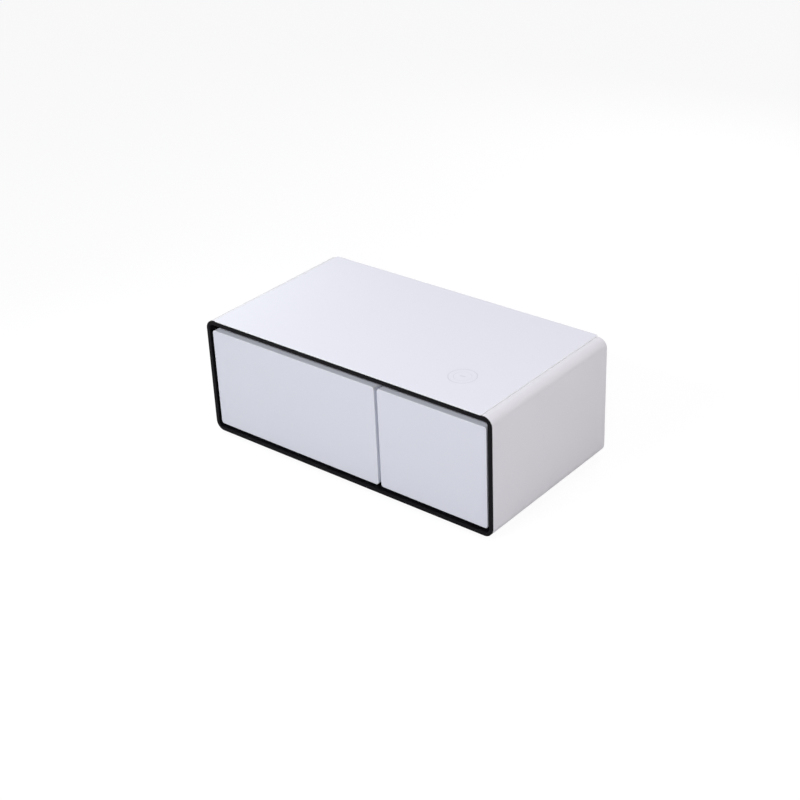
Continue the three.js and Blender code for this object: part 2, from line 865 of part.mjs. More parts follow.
function fanRotor() {
  const back = stator_front - fan_pin_play;
  const front = back - fan_hub_depth;
  const middle = (front + back) / 2;
  const hub = drill(0, 0, front, back, fan_hub_radius, 16);
  const reach = fan_blade_tip - fan_hub_radius / 2;
  const blades = [];
  for (let i = 0; i < fan_blade_count; i += 1) {
    const blade = new THREE.BoxGeometry(fan_blade_chord, fan_blade_thickness, reach);
    blade.rotateZ(fan_blade_angle);
    blade.translate(0, 0, fan_hub_radius / 2 + reach / 2);
    blade.rotateY((2 * Math.PI * i) / fan_blade_count);
    blades.push(blade.translate(0, middle, 0));
  }
  const bore = drill(0, 0, back - fan_pin_length, back + overrun, fan_pin_radius + fan_pin_play, 10);
  const mesh = piece("fan_rotor", "grey_plastic", cut(join(hub, ...blades), bore));
  mesh.position.set(condenser_x, fan_y, fan_z);
  return mesh;
}

// Pipes: straight runs with a bend at each corner
function pipe(name, corners) {
  const points = corners.map((corner) => new THREE.Vector3(...corner));
  const route = new THREE.CurvePath();
  let start = points[0];
  for (let i = 1; i < points.length - 1; i += 1) {
    const corner = points[i];
    const before = points[i - 1].clone().sub(corner).setLength(pipe_bend).add(corner);
    const after = points[i + 1].clone().sub(corner).setLength(pipe_bend).add(corner);
    route.add(new THREE.LineCurve3(start, before));
    route.add(new THREE.QuadraticBezierCurve3(before, corner, after));
    start = after;
  }
  route.add(new THREE.LineCurve3(start, points[points.length - 1]));
  const sides = 8;
  const full = 2 * Math.PI;
  const section = new THREE.Shape(arc(0, 0, pipe_radius, 0, full - full / sides, sides - 1));
  const steps = Math.round(route.getLength() / (pipe_radius * pipe_step_share));
  const geometry = new THREE.ExtrudeGeometry(section, { extrudePath: route, steps, bevelEnabled: false });
  return piece(name, "copper", geometry);
}

const compressor_ports = [compressor_x - port_offset, compressor_x + port_offset];
const condenser_headers = [condenser_x - condenser_width / 2, condenser_x + condenser_width / 2];

function dischargePipe() {
  const top = port_top + discharge_rise;
  const [from] = compressor_ports;
  const [, to] = condenser_headers;
  return pipe("discharge_pipe", [
    [from, machine_middle, port_top + fit_gap],
    [from, machine_middle, top],
    [to, machine_middle, top],
    [to, condenser_y, top],
    [to, condenser_y, header_top + fit_gap],
  ]);
}

function filterDrier() {
  const end = drier_length - drier_neck;
  const profile = [
    [0, 0], [drier_radius / 2, 0], [drier_radius, drier_neck], [drier_radius, end],
    [drier_radius / 2, drier_length], [0, drier_length],
  ];
  const mesh = piece("filter_drier", "copper", turned(profile, 12));
  mesh.position.set(condenser_headers[0], condenser_y, header_top + fit_gap);
  return mesh;
}

function capillaryPipe() {
  const x = condenser_headers[0];
  return pipe("capillary_pipe", [
    [x, condenser_y, header_top + drier_length + 2 * fit_gap],
    [x, condenser_y, capillary_z],
    [capillary_x, condenser_y, capillary_z],
    [capillary_x, cavity_back, capillary_z],
  ]);
}

function linkPipe() {
  const y = machine_front + link_standoff;
  return pipe("link_pipe", [
    [link_left_x, cavity_back, link_z],
    [link_left_x, y, link_z],
    [link_right_x, y, link_z],
    [link_right_x, cavity_back, link_z],
  ]);
}

function suctionPipe() {
  const [, x] = compressor_ports;
  return pipe("suction_pipe", [
    [suction_x, cavity_back, suction_z],
    [suction_x, machine_middle, suction_z],
    [x, machine_middle, suction_z],
    [x, machine_middle, port_top + fit_gap],
  ]);
}

// Control box: an open tray on the bulkhead with the board on posts. What stands on the board has its
// left, right, low and high edge and its height as shares of the board's half sizes and the part height.
const control_part_shares = [
  [-0.8, -0.4, -0.7, -0.1, 1],
  [-0.2, 0.2, 0.2, 0.7, 0.5],
  [0.4, 0.8, -0.6, 0.1, 1],
];
const capacitor_shares = [-0.6, 0.4, 0.2];

function controlBox() {
  const x = control_width / 2;
  const z = control_height / 2;
  const wall = control_wall;
  const tray = block([-x, 0, -z], [x, control_depth, z]);
  const hollow = block([wall - x, wall, wall - z], [x - wall, control_depth + overrun, z - wall]);
  const place = control_board_margin + post_size;
  const posts = [-1, 1].flatMap((across) => [-1, 1].map((along) => block(
    [across * (x - place) - post_size / 2, wall / 2, along * (z - place) - post_size / 2],
    [across * (x - place) + post_size / 2, wall + post_height, along * (z - place) + post_size / 2],
  )));
  const mesh = piece("control_box", "grey_plastic", join(cut(tray, hollow), ...posts));
  mesh.position.copy(controlPlace);
  return mesh;
}

function controlBoard() {
  const margin = control_wall + control_board_margin;
  const x = control_width / 2 - margin;
  const z = control_height / 2 - margin;
  const front = control_wall + post_height + fit_gap;
  const back = front + control_board_thickness;
  const top = back + control_part_height;
  const board = block([-x, front, -z], [x, back, z]);
  const parts = control_part_shares.map(([left, right, low, high, rise]) => (
    block([x * left, front, z * low], [x * right, back + control_part_height * rise, z * high])
  ));
  const [across, up, radius] = capacitor_shares;
  parts.push(drill(x * across, z * up, front, top, z * radius, 12));
  const mesh = piece("control_board", "circuit", join(board, ...parts));
  mesh.position.copy(controlPlace);
  return mesh;
}

const controlPlace = new THREE.Vector3(
  -table_length * control_place_share,
  machine_front + fit_gap,
  base_top + control_rise + control_height / 2,
);

// Power inlet: a body through the back panel with a flange outside, a socket and three contacts
function powerInlet() {
  const x = inlet_width / 2;
  const z = inlet_height / 2;
  const face = machine_back + panel_thickness + fit_gap;
  const body = block([-x, face - inlet_depth, -z], [x, face + inlet_flange_thickness / 2, z]);
  const flange = block(
    [-x - inlet_flange, face, -z - inlet_flange],
    [x + inlet_flange, face + inlet_flange_thickness, z + inlet_flange],
  );
  const inside = [x - inlet_socket_margin, z - inlet_socket_margin];
  const floor = face + inlet_flange_thickness - inlet_socket_depth;
  const socket = block([-inside[0], floor, -inside[1]], [inside[0], face + overrun, inside[1]]);
  const contacts = [-1, 0, 1].map((place) => block(
    [place * inlet_pin_pitch - inlet_pin / 2, floor - inlet_pin, -inlet_pin],
    [place * inlet_pin_pitch + inlet_pin / 2, face, inlet_pin],
  ));
  const mesh = piece("power_inlet", "black_plastic", join(cut(join(body, flange), socket), ...contacts));
  mesh.position.set(-table_length * inlet_place_share, 0, base_top + inlet_rise);
  return mesh;
}

// Assembly
const housing = new THREE.Group();
housing.add(shell("left_shell", -1), shell("right_shell", 1), topDeck(), baseBoard());
housing.add(frontFrame(), backPanel(), feet());
housing.add(glassTop(), chargingMark(), chargingCoil(), chargingBoard());

const coldBox = new THREE.Group();
coldBox.add(facePlate(), insulation(), bulkhead(), ...bays.map(bayGroup));

const machine = new THREE.Group();
machine.add(compressorMount(), compressor(), condenser(), fanFrame(), fanRotor(), filterDrier());
machine.add(dischargePipe(), capillaryPipe(), linkPipe(), suctionPipe());
machine.add(controlBox(), controlBoard(), powerInlet());

const coffeeTable = new THREE.Group();
coffeeTable.add(housing, coldBox, machine);

export default coffeeTable;
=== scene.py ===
"""The looks of a low coffee table with two cooled drawers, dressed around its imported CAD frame.

Lengths are in metres. X runs to the right seen from the front, Y to the back and Z up.
"""

import json
import math

import bmesh
import bpy
from mathutils import Matrix, Vector

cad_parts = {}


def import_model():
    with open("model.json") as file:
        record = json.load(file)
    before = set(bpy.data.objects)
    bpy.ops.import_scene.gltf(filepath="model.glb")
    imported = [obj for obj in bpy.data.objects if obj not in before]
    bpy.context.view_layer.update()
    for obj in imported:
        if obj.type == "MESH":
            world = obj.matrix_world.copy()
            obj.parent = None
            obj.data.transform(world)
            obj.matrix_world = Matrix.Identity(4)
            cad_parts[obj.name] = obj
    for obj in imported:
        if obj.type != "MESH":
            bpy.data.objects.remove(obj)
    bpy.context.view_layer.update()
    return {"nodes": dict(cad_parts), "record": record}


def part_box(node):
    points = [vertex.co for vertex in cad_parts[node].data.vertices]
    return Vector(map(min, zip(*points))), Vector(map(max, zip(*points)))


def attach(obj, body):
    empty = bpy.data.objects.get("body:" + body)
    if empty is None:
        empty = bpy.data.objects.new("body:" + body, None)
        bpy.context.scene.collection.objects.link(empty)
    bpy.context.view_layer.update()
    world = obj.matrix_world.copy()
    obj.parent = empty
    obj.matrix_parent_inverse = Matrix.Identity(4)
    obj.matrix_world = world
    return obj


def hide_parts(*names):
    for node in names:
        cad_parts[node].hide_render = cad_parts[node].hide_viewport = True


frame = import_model()
scene = bpy.context.scene

MM = 0.001


# Rectangles and profiles

LEAST_RADIUS = 0.05 * MM


def middle(low, high):
    """The number or point halfway between two."""
    return (low + high) / 2


def inset(rect, amount):
    left, right, low, high = rect
    return left + amount, right - amount, low + amount, high - amount


def rounded(rect, radius, steps=12):
    """Points of a rounded rectangle, anticlockwise from its low right corner."""
    left, right, low, high = rect
    radius = max(radius, LEAST_RADIUS)
    centres = [
        (right - radius, low + radius),
        (right - radius, high - radius),
        (left + radius, high - radius),
        (left + radius, low + radius),
    ]
    points = []
    for turn, (x, y) in enumerate(centres):
        for i in range(steps + 1):
            angle = math.radians(90) * (turn - 1 + i / steps)
            points.append((x + radius * math.cos(angle), y + radius * math.sin(angle)))
    return points


def bend(x, y, radius, start, end, steps=4):
    """An arc of a profile, with its angles in degrees."""
    angles = [math.radians(start + (end - start) * i / steps) for i in range(steps + 1)]
    return [(x + radius * math.cos(a), y + radius * math.sin(a)) for a in angles]


def upright_loops(rect, radius, profile, steps=12):
    """Loops across Y: each step of the profile is an inset of the rectangle in X and Z, and a Y."""
    return [
        [(x, y, z) for x, z in rounded(inset(rect, amount), radius - amount, steps)]
        for amount, y in profile
    ]


def level_loops(rect, radius, profile, steps=12):
    """Loops across Z: each step of the profile is an inset of the rectangle in X and Y, and a Z."""
    return [
        [(x, y, z) for x, y in rounded(inset(rect, amount), radius - amount, steps)]
        for amount, z in profile
    ]


def circle_loops(centre, axis, profile, steps=40):
    """Loops of a turned form: each step of the profile is a radius and a height along the axis."""
    turn = Vector(axis).to_track_quat("Z", "Y").to_matrix()
    loops = []
    for radius, height in profile:
        angles = [2 * math.pi * i / steps for i in range(steps)]
        ring = [Vector((radius * math.cos(a), radius * math.sin(a), height)) for a in angles]
        loops.append([Vector(centre) + turn @ point for point in ring])
    return loops


# Meshes

CAP_SHRINK_SHARE = 0.985


def shrunk(loop):
    centre = sum((Vector(p) for p in loop), Vector()) / len(loop)
    return [centre.lerp(Vector(p), CAP_SHRINK_SHARE) for p in loop]


def loft(bm, loops, closed=False, caps=True):
    """Joins loops of equally many points. A cap gets a loop of its own, so that it shades flat."""
    if caps and not closed:
        loops = [shrunk(loops[0]), *loops, shrunk(loops[-1])]
    rings = [[bm.verts.new(point) for point in loop] for loop in loops]
    pairs = list(zip(rings, rings[1:]))
    if closed:
        pairs.append((rings[-1], rings[0]))
    for ring, after in pairs:
        for i in range(len(ring)):
            j = (i + 1) % len(ring)
            bm.faces.new((ring[i], ring[j], after[j], after[i]))
    if caps and not closed:
        bm.faces.new(rings[0])
        bm.faces.new(rings[-1])


def block(bm, low, high):
    """A box between two corners."""
    low, high = Vector(low), Vector(high)
    matrix = Matrix.Translation(middle(low, high)) @ Matrix.Diagonal((*(high - low), 1))
    bmesh.ops.create_cube(bm, size=1, matrix=matrix)


def prism(bm, outline, front, back):
    """An outline in X and Z, extruded along Y."""
    loft(bm, [[(x, y, z) for x, z in outline] for y in (front, back)], caps=False)
    bm.faces.ensure_lookup_table()
    bm.verts.ensure_lookup_table()
    count = len(outline)
    ring = bm.verts[-2 * count:]
    bm.faces.new(ring[:count])
    bm.faces.new(ring[count:])


SHARP_ANGLE = 40
BEVEL_SEGMENTS = 3


def finished(obj, bevel=0.0, segments=BEVEL_SEGMENTS, angle=SHARP_ANGLE):
    """Rounds the hard edges of a piece and shades its large faces flat."""
    if bevel:
        modifier = obj.modifiers.new("rounded_edges", "BEVEL")
        modifier.width = bevel
        modifier.segments = segments
        modifier.limit_method = "ANGLE"
        modifier.angle_limit = math.radians(angle)
    weighted = obj.modifiers.new("weighted_normals", "WEIGHTED_NORMAL")
    weighted.keep_sharp = True
    return obj


def piece(name, bm, slot, body, replaces=(), bevel=0.0, sharp=SHARP_ANGLE):
    """A mesh that rides on a CAD body, wears its slot's material and may replace CAD nodes."""
    bmesh.ops.recalc_face_normals(bm, faces=bm.faces)
    mesh = bpy.data.meshes.new(name)
    bm.to_mesh(mesh)
    bm.free()
    mesh.shade_smooth()
    mesh.set_sharp_from_angle(angle=math.radians(sharp))
    obj = bpy.data.objects.new(name, mesh)
    scene.collection.objects.link(obj)
    mesh.materials.append(material_of(slot))
    finished(obj, bevel, angle=sharp)
    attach(obj, body)
    if replaces:
        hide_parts(*replaces)
    return obj


def carve(obj, bm):
    """Cuts the closed form in bm out of a piece."""
    bmesh.ops.recalc_face_normals(bm, faces=bm.faces)
    mesh = bpy.data.meshes.new("cutter")
    bm.to_mesh(mesh)
    bm.free()
    cutter = bpy.data.objects.new("cutter", mesh)
    scene.collection.objects.link(cutter)
    modifier = obj.modifiers.new("cut", "BOOLEAN")
    modifier.object = cutter
    modifier.solver = "EXACT"
    obj.modifiers.move(len(obj.modifiers) - 1, 0)
    others = [m for m in obj.modifiers if m != modifier]
    for other in others:
        other.show_viewport = False
    bpy.context.view_layer.update()
    evaluated = obj.evaluated_get(bpy.context.evaluated_depsgraph_get())
    obj.data = bpy.data.meshes.new_from_object(evaluated)
    obj.modifiers.remove(modifier)
    for other in others:
        other.show_viewport = True
    bpy.data.objects.remove(cutter)


# Materials: each is a Principled shader with procedural detail in real millimetres


FIRST_COLOUR, SECOND_COLOUR, MIXED_COLOUR = 6, 7, 2


class Surface:
    """A Principled material, with the wiring that its procedural detail needs."""

    def __init__(self, name, colour, roughness, metallic=0.0, **inputs):
        self.material = bpy.data.materials.new(name)
        self.material.use_nodes = True
        self.tree = self.material.node_tree
        self.shader = self.tree.nodes["Principled BSDF"]
        self.place = self.tree.nodes.new("ShaderNodeTexCoord").outputs["Object"]
        self.shader.inputs["Base Color"].default_value = (*colour, 1)
        self.shader.inputs["Roughness"].default_value = roughness
        self.shader.inputs["Metallic"].default_value = metallic
        for socket, value in inputs.items():
            self.shader.inputs[socket.replace("_", " ")].default_value = value

    def node(self, kind, **settings):
        made = self.tree.nodes.new(kind)
        for key, value in settings.items():
            setattr(made, key, value)
        return made

    def stretched(self, stretch):
        mapping = self.node("ShaderNodeMapping")
        mapping.inputs["Scale"].default_value = stretch
        self.tree.links.new(self.place, mapping.inputs["Vector"])
        return mapping.outputs["Vector"]

    def noise(self, grain, detail=3.0, stretch=(1, 1, 1)):
        """Noise whose grains are that many metres across."""
        texture = self.node("ShaderNodeTexNoise")
        texture.inputs["Scale"].default_value = 1 / grain
        texture.inputs["Detail"].default_value = detail
        self.tree.links.new(self.stretched(stretch), texture.inputs["Vector"])
        return texture.outputs["Fac"]

    def cells(self, grain, feature="F1", output="Distance"):
        texture = self.node("ShaderNodeTexVoronoi", feature=feature)
        texture.inputs["Scale"].default_value = 1 / grain
        self.tree.links.new(self.place, texture.inputs["Vector"])
        return texture.outputs[output]

    def ranged(self, value, low, high, start=0.3, end=0.7):
        """A value from start to end, spread from low to high."""
        scale = self.node("ShaderNodeMapRange")
        limits = {"From Min": start, "From Max": end, "To Min": low, "To Max": high}
        for socket, number in limits.items():
            scale.inputs[socket].default_value = number
        self.tree.links.new(value, scale.inputs["Value"])
        return scale.outputs["Result"]

    def mixed(self, factor, first, second):
        """Two colours, or sockets of them, mixed by a factor."""
        mix = self.node("ShaderNodeMix", data_type="RGBA")
        self.tree.links.new(factor, mix.inputs["Factor"])
        for place, colour in ((FIRST_COLOUR, first), (SECOND_COLOUR, second)):
            if isinstance(colour, tuple):
                mix.inputs[place].default_value = (*colour, 1)
            else:
                self.tree.links.new(colour, mix.inputs[place])
        return mix.outputs[MIXED_COLOUR]

    def flatness(self):
        """One where the surface looks along an axis, and less where it rounds an edge."""
        normal = self.node("ShaderNodeNewGeometry").outputs["Normal"]
        size = self.node("ShaderNodeVectorMath", operation="ABSOLUTE")
        self.tree.links.new(normal, size.inputs[0])
        parts = self.node("ShaderNodeSeparateXYZ")
        self.tree.links.new(size.outputs[0], parts.inputs[0])
        largest = parts.outputs[0]
        for part in parts.outputs[1:]:
            larger = self.node("ShaderNodeMath", operation="MAXIMUM")
            self.tree.links.new(largest, larger.inputs[0])
            self.tree.links.new(part, larger.inputs[1])
            largest = larger.outputs[0]
        return largest

    def facing(self, axis):
        """One where the surface looks along the axis, and minus one where it looks against it."""
        parts = self.node("ShaderNodeSeparateXYZ")
        self.tree.links.new(self.node("ShaderNodeNewGeometry").outputs["Normal"], parts.inputs[0])
        return parts.outputs[axis]

    def colour(self, socket):
        self.tree.links.new(socket, self.shader.inputs["Base Color"])
        return self

    def roughness(self, value, low, high):
        self.tree.links.new(self.ranged(value, low, high), self.shader.inputs["Roughness"])
        return self

    def bump(self, value, height):
        """Relief of that height in metres, over any relief that is there."""
        relief = self.node("ShaderNodeBump")
        relief.inputs["Distance"].default_value = height
        self.tree.links.new(value, relief.inputs["Height"])
        normal = self.shader.inputs["Normal"]
        if normal.is_linked:
            self.tree.links.new(normal.links[0].from_socket, relief.inputs["Normal"])
        self.tree.links.new(relief.outputs["Normal"], normal)
        return self


PEEL_HEIGHT = 0.002 * MM


def paint(name, colour, shade, roughness, coat):
    """Sprayed satin paint: a slow drift of tone and a faint orange peel."""
    surface = Surface(name, colour, roughness, Coat_Weight=coat, Coat_Roughness=0.08)
    surface.colour(surface.mixed(surface.noise(220 * MM, 2.0), colour, shade))
    surface.roughness(surface.noise(60 * MM), roughness - 0.04, roughness + 0.05)
    return surface.bump(surface.noise(3 * MM, 1.0), PEEL_HEIGHT)


def shell_paint():
    return paint("shell_paint", (0.8, 0.79, 0.81), (0.785, 0.775, 0.8), 0.34, 0.35)


def front_paint():
    """The fronts' paint: lands and sides get a paler, bluer copy as painted light against their
    shade, and rounded edges get a painted highlight.
    """
    face, shade = (0.785, 0.797, 0.855), (0.775, 0.787, 0.845)
    # land is a paler, bluer copy of the face colour, painted light for the shaded lands and sides;
    # rim is a painted highlight
    land, rim = (0.89, 0.91, 0.985), (0.93, 0.94, 0.965)
    surface = paint("front_paint", face, shade, 0.36, 0.2)
    drift = surface.shader.inputs["Base Color"].links[0].from_socket
    # Every face that doesn't look forward gets the land colour: painted light
    turned = surface.ranged(surface.facing("Y"), 0, 1, -0.98, -0.6)
    # Rounded edges get the rim colour: a painted highlight
    painted_highlight_mask = surface.ranged(surface.flatness(), 1, 0, 0.8, 0.98)
    flat = surface.mixed(turned, drift, land)
    return surface.colour(surface.mixed(painted_highlight_mask, flat, rim))


def top_glass():
    """Glass painted white on its back and mirror-smooth; its polished edge is paler, partly the
    clear glass's own tint and partly painted light over the shade on its side and bevel.
    """
    # edge is paler than the face: the clear glass's own tint, with painted light over its shaded
    # side and bevel
    white, tone, edge = (0.805, 0.81, 0.875), (0.8, 0.805, 0.875), (0.93, 0.95, 0.96)
    surface = Surface("top_glass", white, 0.05, Coat_Weight=0.6, Coat_Roughness=0.03)
    face = surface.mixed(surface.noise(400 * MM, 1.0), white, tone)
    # Sides and bevels, where level is low, take the edge colour: partly painted light
    level = surface.ranged(surface.facing("Z"), 0, 1, 0.5, 0.99)
    surface.colour(surface.mixed(level, edge, face))
    return surface.roughness(surface.noise(90 * MM, 5.0), 0.03, 0.09)


def ring_mark():
    surface = Surface("ring_mark", (0.7, 0.7, 0.75), 0.2)
    surface.colour(surface.mixed(surface.noise(3 * MM), (0.65, 0.65, 0.71), (0.7, 0.7, 0.76)))
    return surface.roughness(surface.noise(2 * MM), 0.15, 0.26)


def frame_black():
    """Black anodised aluminium: satin, with a fine drawn grain."""
    dark, light = (0.0035, 0.003, 0.004), (0.0065, 0.0058, 0.007)
    surface = Surface("frame_black", (0.005, 0.0046, 0.0055), 0.42, Specular_IOR_Level=0.09)
    grain = surface.noise(0.8 * MM, 2.0, (0.02, 1, 0.02))
    surface.colour(surface.mixed(surface.noise(30 * MM), dark, light))
    surface.roughness(surface.noise(12 * MM, 4.0), 0.36, 0.48)
    return surface.bump(grain, 0.004 * MM)


def carcass_board():
    """Raw fibreboard of short pale and dark fibres, with white tape on its back edges."""
    surface = Surface("carcass_board", (0.42, 0.3, 0.19), 0.85)
    fibre = surface.noise(3 * MM, 6.0, (1, 0.3, 1))
    pale = surface.mixed(surface.ranged(fibre, 0, 1), (0.33, 0.22, 0.13), (0.5, 0.37, 0.24))
    brown = surface.mixed(surface.noise(80 * MM), pale, (0.44, 0.31, 0.2))
    taped = surface.ranged(surface.facing("Y"), 0, 1, 0.9, 0.95)
    surface.colour(surface.mixed(taped, brown, (0.76, 0.75, 0.77)))
    return surface.bump(fibre, 0.06 * MM)


def rubber(name, dark, light):
    surface = Surface(name, dark, 0.8, Specular_IOR_Level=0.3)
    surface.colour(surface.mixed(surface.noise(9 * MM), dark, light))
    surface.roughness(surface.noise(4 * MM), 0.72, 0.9)
    return surface.bump(surface.noise(0.7 * MM), 0.03 * MM)


def foot_rubber():
    return rubber("foot_rubber", (0.012, 0.012, 0.012), (0.024, 0.024, 0.025))


def seal_rubber():
    return rubber("seal_rubber", (0.2, 0.205, 0.22), (0.25, 0.255, 0.27))


SPARK_GRAIN = 0.9 * MM
SPARK_HEIGHT = 0.006 * MM


def moulded(name, dark, light, roughness, **inputs):
    """Moulded plastic with the fine spark-eroded grain of its tool."""
    surface = Surface(name, dark, roughness, **inputs)
    surface.colour(surface.mixed(surface.noise(40 * MM), dark, light))
    surface.roughness(surface.noise(8 * MM), roughness - 0.06, roughness + 0.06)
    return surface.bump(surface.noise(SPARK_GRAIN, 2.0), SPARK_HEIGHT)


def liner_plastic():
    return moulded("liner_plastic", (0.74, 0.75, 0.77), (0.78, 0.79, 0.8), 0.42)


def black_plastic():
    return moulded("black_plastic", (0.015, 0.015, 0.017), (0.022, 0.022, 0.024), 0.5)


def grey_plastic():
    return moulded("grey_plastic", (0.2, 0.21, 0.22), (0.24, 0.25, 0.26), 0.52)


def bin_plastic():
    return moulded(
        "bin_plastic", (0.78, 0.8, 0.84), (0.81, 0.83, 0.86), 0.37,
        Coat_Weight=0.3, Coat_Roughness=0.1,
    )


def lamp_lens():
    cream, pale = (0.86, 0.85, 0.78), (0.9, 0.89, 0.83)
    return moulded("lamp_lens", cream, pale, 0.37, Subsurface_Weight=0.3)


def foam():
    """Foam set in place: closed cells of a millimetre or so in a straw yellow."""
    dark, light = (0.6, 0.48, 0.24), (0.74, 0.63, 0.36)
    surface = Surface("foam", (0.68, 0.56, 0.3), 0.95)
    surface.colour(surface.mixed(surface.noise(25 * MM, 5.0), dark, light))
    return surface.bump(surface.cells(1.6 * MM), 0.5 * MM)


def powder_coat(name, dark, light):
    surface = Surface(name, dark, 0.55)
    surface.colour(surface.mixed(surface.noise(50 * MM), dark, light))
    surface.roughness(surface.noise(5 * MM), 0.48, 0.62)
    return surface.bump(surface.noise(0.9 * MM, 2.0), 0.05 * MM)


def plate_black():
    return powder_coat("plate_black", (0.01, 0.01, 0.012), (0.016, 0.016, 0.018))


def panel_grey():
    return powder_coat("panel_grey", (0.36, 0.37, 0.39), (0.41, 0.42, 0.44))


def compressor_black():
    return powder_coat("compressor_black", (0.01, 0.01, 0.011), (0.02, 0.02, 0.021))


def zinc_steel():
    """Zinc plate: pale spangles, each at its own tone, over a rolled grain."""
    surface = Surface("zinc_steel", (0.5, 0.51, 0.53), 0.34, 0.95)
    spangle = surface.node("ShaderNodeSeparateColor")
    surface.tree.links.new(surface.cells(7 * MM, output="Color"), spangle.inputs[0])
    tone = surface.ranged(spangle.outputs[0], 0, 1, 0, 1)
    surface.colour(surface.mixed(tone, (0.56, 0.57, 0.59), (0.64, 0.65, 0.67)))
    surface.roughness(spangle.outputs[1], 0.32, 0.42)
    return surface.bump(surface.noise(0.6 * MM, 2.0, (1, 0.05, 1)), 0.01 * MM)


def cold_aluminium():
    """Rolled aluminium sheet, with its grain along the length."""
    surface = Surface("cold_aluminium", (0.66, 0.67, 0.68), 0.3, 0.95)
    grain = surface.noise(0.8 * MM, 3.0, (0.03, 1, 1))
    surface.colour(surface.mixed(grain, (0.6, 0.61, 0.63), (0.72, 0.73, 0.74)))
    surface.roughness(grain, 0.31, 0.42)
    return surface.bump(grain, 0.008 * MM)


def copper():
    """Drawn copper, browner where it has been handled and soldered."""
    bright, brown = (0.66, 0.33, 0.19), (0.4, 0.19, 0.11)
    surface = Surface("copper", (0.62, 0.3, 0.17), 0.3, 0.95)
    surface.colour(surface.mixed(surface.noise(18 * MM, 5.0), bright, brown))
    surface.roughness(surface.noise(10 * MM), 0.3, 0.42)
    return surface.bump(surface.noise(0.5 * MM), 0.01 * MM)


def circuit_board():
    """Green lacquer over copper tracks, which show as raised straight-sided cells."""
    surface = Surface("circuit_board", (0.02, 0.12, 0.05), 0.35)
    tracks = surface.ranged(surface.cells(9 * MM, "DISTANCE_TO_EDGE"), 0, 1, 0.06, 0.1)
    surface.colour(surface.mixed(tracks, (0.06, 0.24, 0.1), (0.015, 0.1, 0.045)))
    return surface.bump(tracks, 0.04 * MM)


makers = [
    shell_paint, top_glass, ring_mark, front_paint, frame_black, carcass_board, foot_rubber,
    seal_rubber, liner_plastic, foam, plate_black, panel_grey, zinc_steel, cold_aluminium, copper,
    compressor_black, black_plastic, grey_plastic, bin_plastic, lamp_lens, circuit_board,
]
materials = {maker.__name__: maker().material for maker in makers}


def material_of(slot):
    return materials[slot]


NODE_BEVEL = 0.4 * MM
NODE_BEVEL_SEGMENTS = 2


def dress_nodes():
    """Every CAD node wears its slot's material, and its hard edges get a small radius."""
    slots = {row["node"]: row["material_slot"] for row in frame["record"]["subparts"]}
    for name, obj in frame["nodes"].items():
        obj.data.materials.clear()
        obj.data.materials.append(material_of(slots[name]))
        finished(obj, NODE_BEVEL, NODE_BEVEL_SEGMENTS)


dress_nodes()


# Body

FRAME_FACE = 16 * MM
FRAME_PROUD = 6 * MM
FRAME_EDGE = 2 * MM
FIT_GAP = 0.3 * MM
body_low, body_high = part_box("front_frame")
deck_low, deck_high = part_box("top_deck")
shell_low, shell_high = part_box("right_shell")
board = deck_high.z - deck_low.z
TUBE_RADIUS = 36 * MM
OPENING_RADIUS = 13 * MM
SHELL_EDGE = 1.2 * MM
SHELL_SHARP_ANGLE = 50
SHELL_STEPS = 24
FRAME_STEPS = 20
body_rect = (body_low.x, body_high.x, body_low.z, body_high.z)


def shell_outline(side):
    """A C section: the rounded outside of the tube and the same drawn in by the board."""
    seam = shell_low.x
    steps, radius, inner = SHELL_STEPS, TUBE_RADIUS, TUBE_RADIUS - board
    x, low, high = shell_high.x - radius, body_low.z + radius, body_high.z - radius
    outline = [
        (seam, body_low.z),
        *bend(x, low, radius, -90, 0, steps),
        *bend(x, high, radius, 0, 90, steps),
        (seam, body_high.z),
        (seam, body_high.z - board),
        *bend(x, high, inner, 90, 0, steps),
        *bend(x, low, inner, 0, -90, steps),
        (seam, body_low.z + board),
    ]
    return [(side * x, z) for x, z in outline]


def shells():
    for name, side in (("left_shell", -1), ("right_shell", 1)):
        bm = bmesh.new()
        prism(bm, shell_outline(side), shell_low.y, shell_high.y)
        ending = {"bevel": SHELL_EDGE, "sharp": SHELL_SHARP_ANGLE}
        piece(f"{name}_painted", bm, "shell_paint", "cabinet", [name], **ending)


def front_frame():
    """The black face with rounded edges and corners, and the sleeve behind it."""
    front, back = body_low.y, body_high.y
    face = FRAME_FACE - FRAME_EDGE
    sleeve = board + FIT_GAP
    outside = bend(FRAME_EDGE, front + FRAME_EDGE, FRAME_EDGE, 180, 270)
    opening = [*bend(face, front + FRAME_EDGE, FRAME_EDGE, 270, 360), (FRAME_FACE, back)]
    behind = [(sleeve, back), (sleeve, front + FRAME_PROUD), (0, front + FRAME_PROUD)]
    loops = [
        *upright_loops(body_rect, TUBE_RADIUS, outside, FRAME_STEPS),
        *upright_loops(body_rect, OPENING_RADIUS + FRAME_FACE, opening, FRAME_STEPS),
        *upright_loops(body_rect, TUBE_RADIUS, behind, FRAME_STEPS),
    ]
    bm = bmesh.new()
    loft(bm, loops, closed=True)
    piece("front_frame_anodised", bm, "frame_black", "cabinet", ["front_frame"])


# Glass top with its printed charging mark

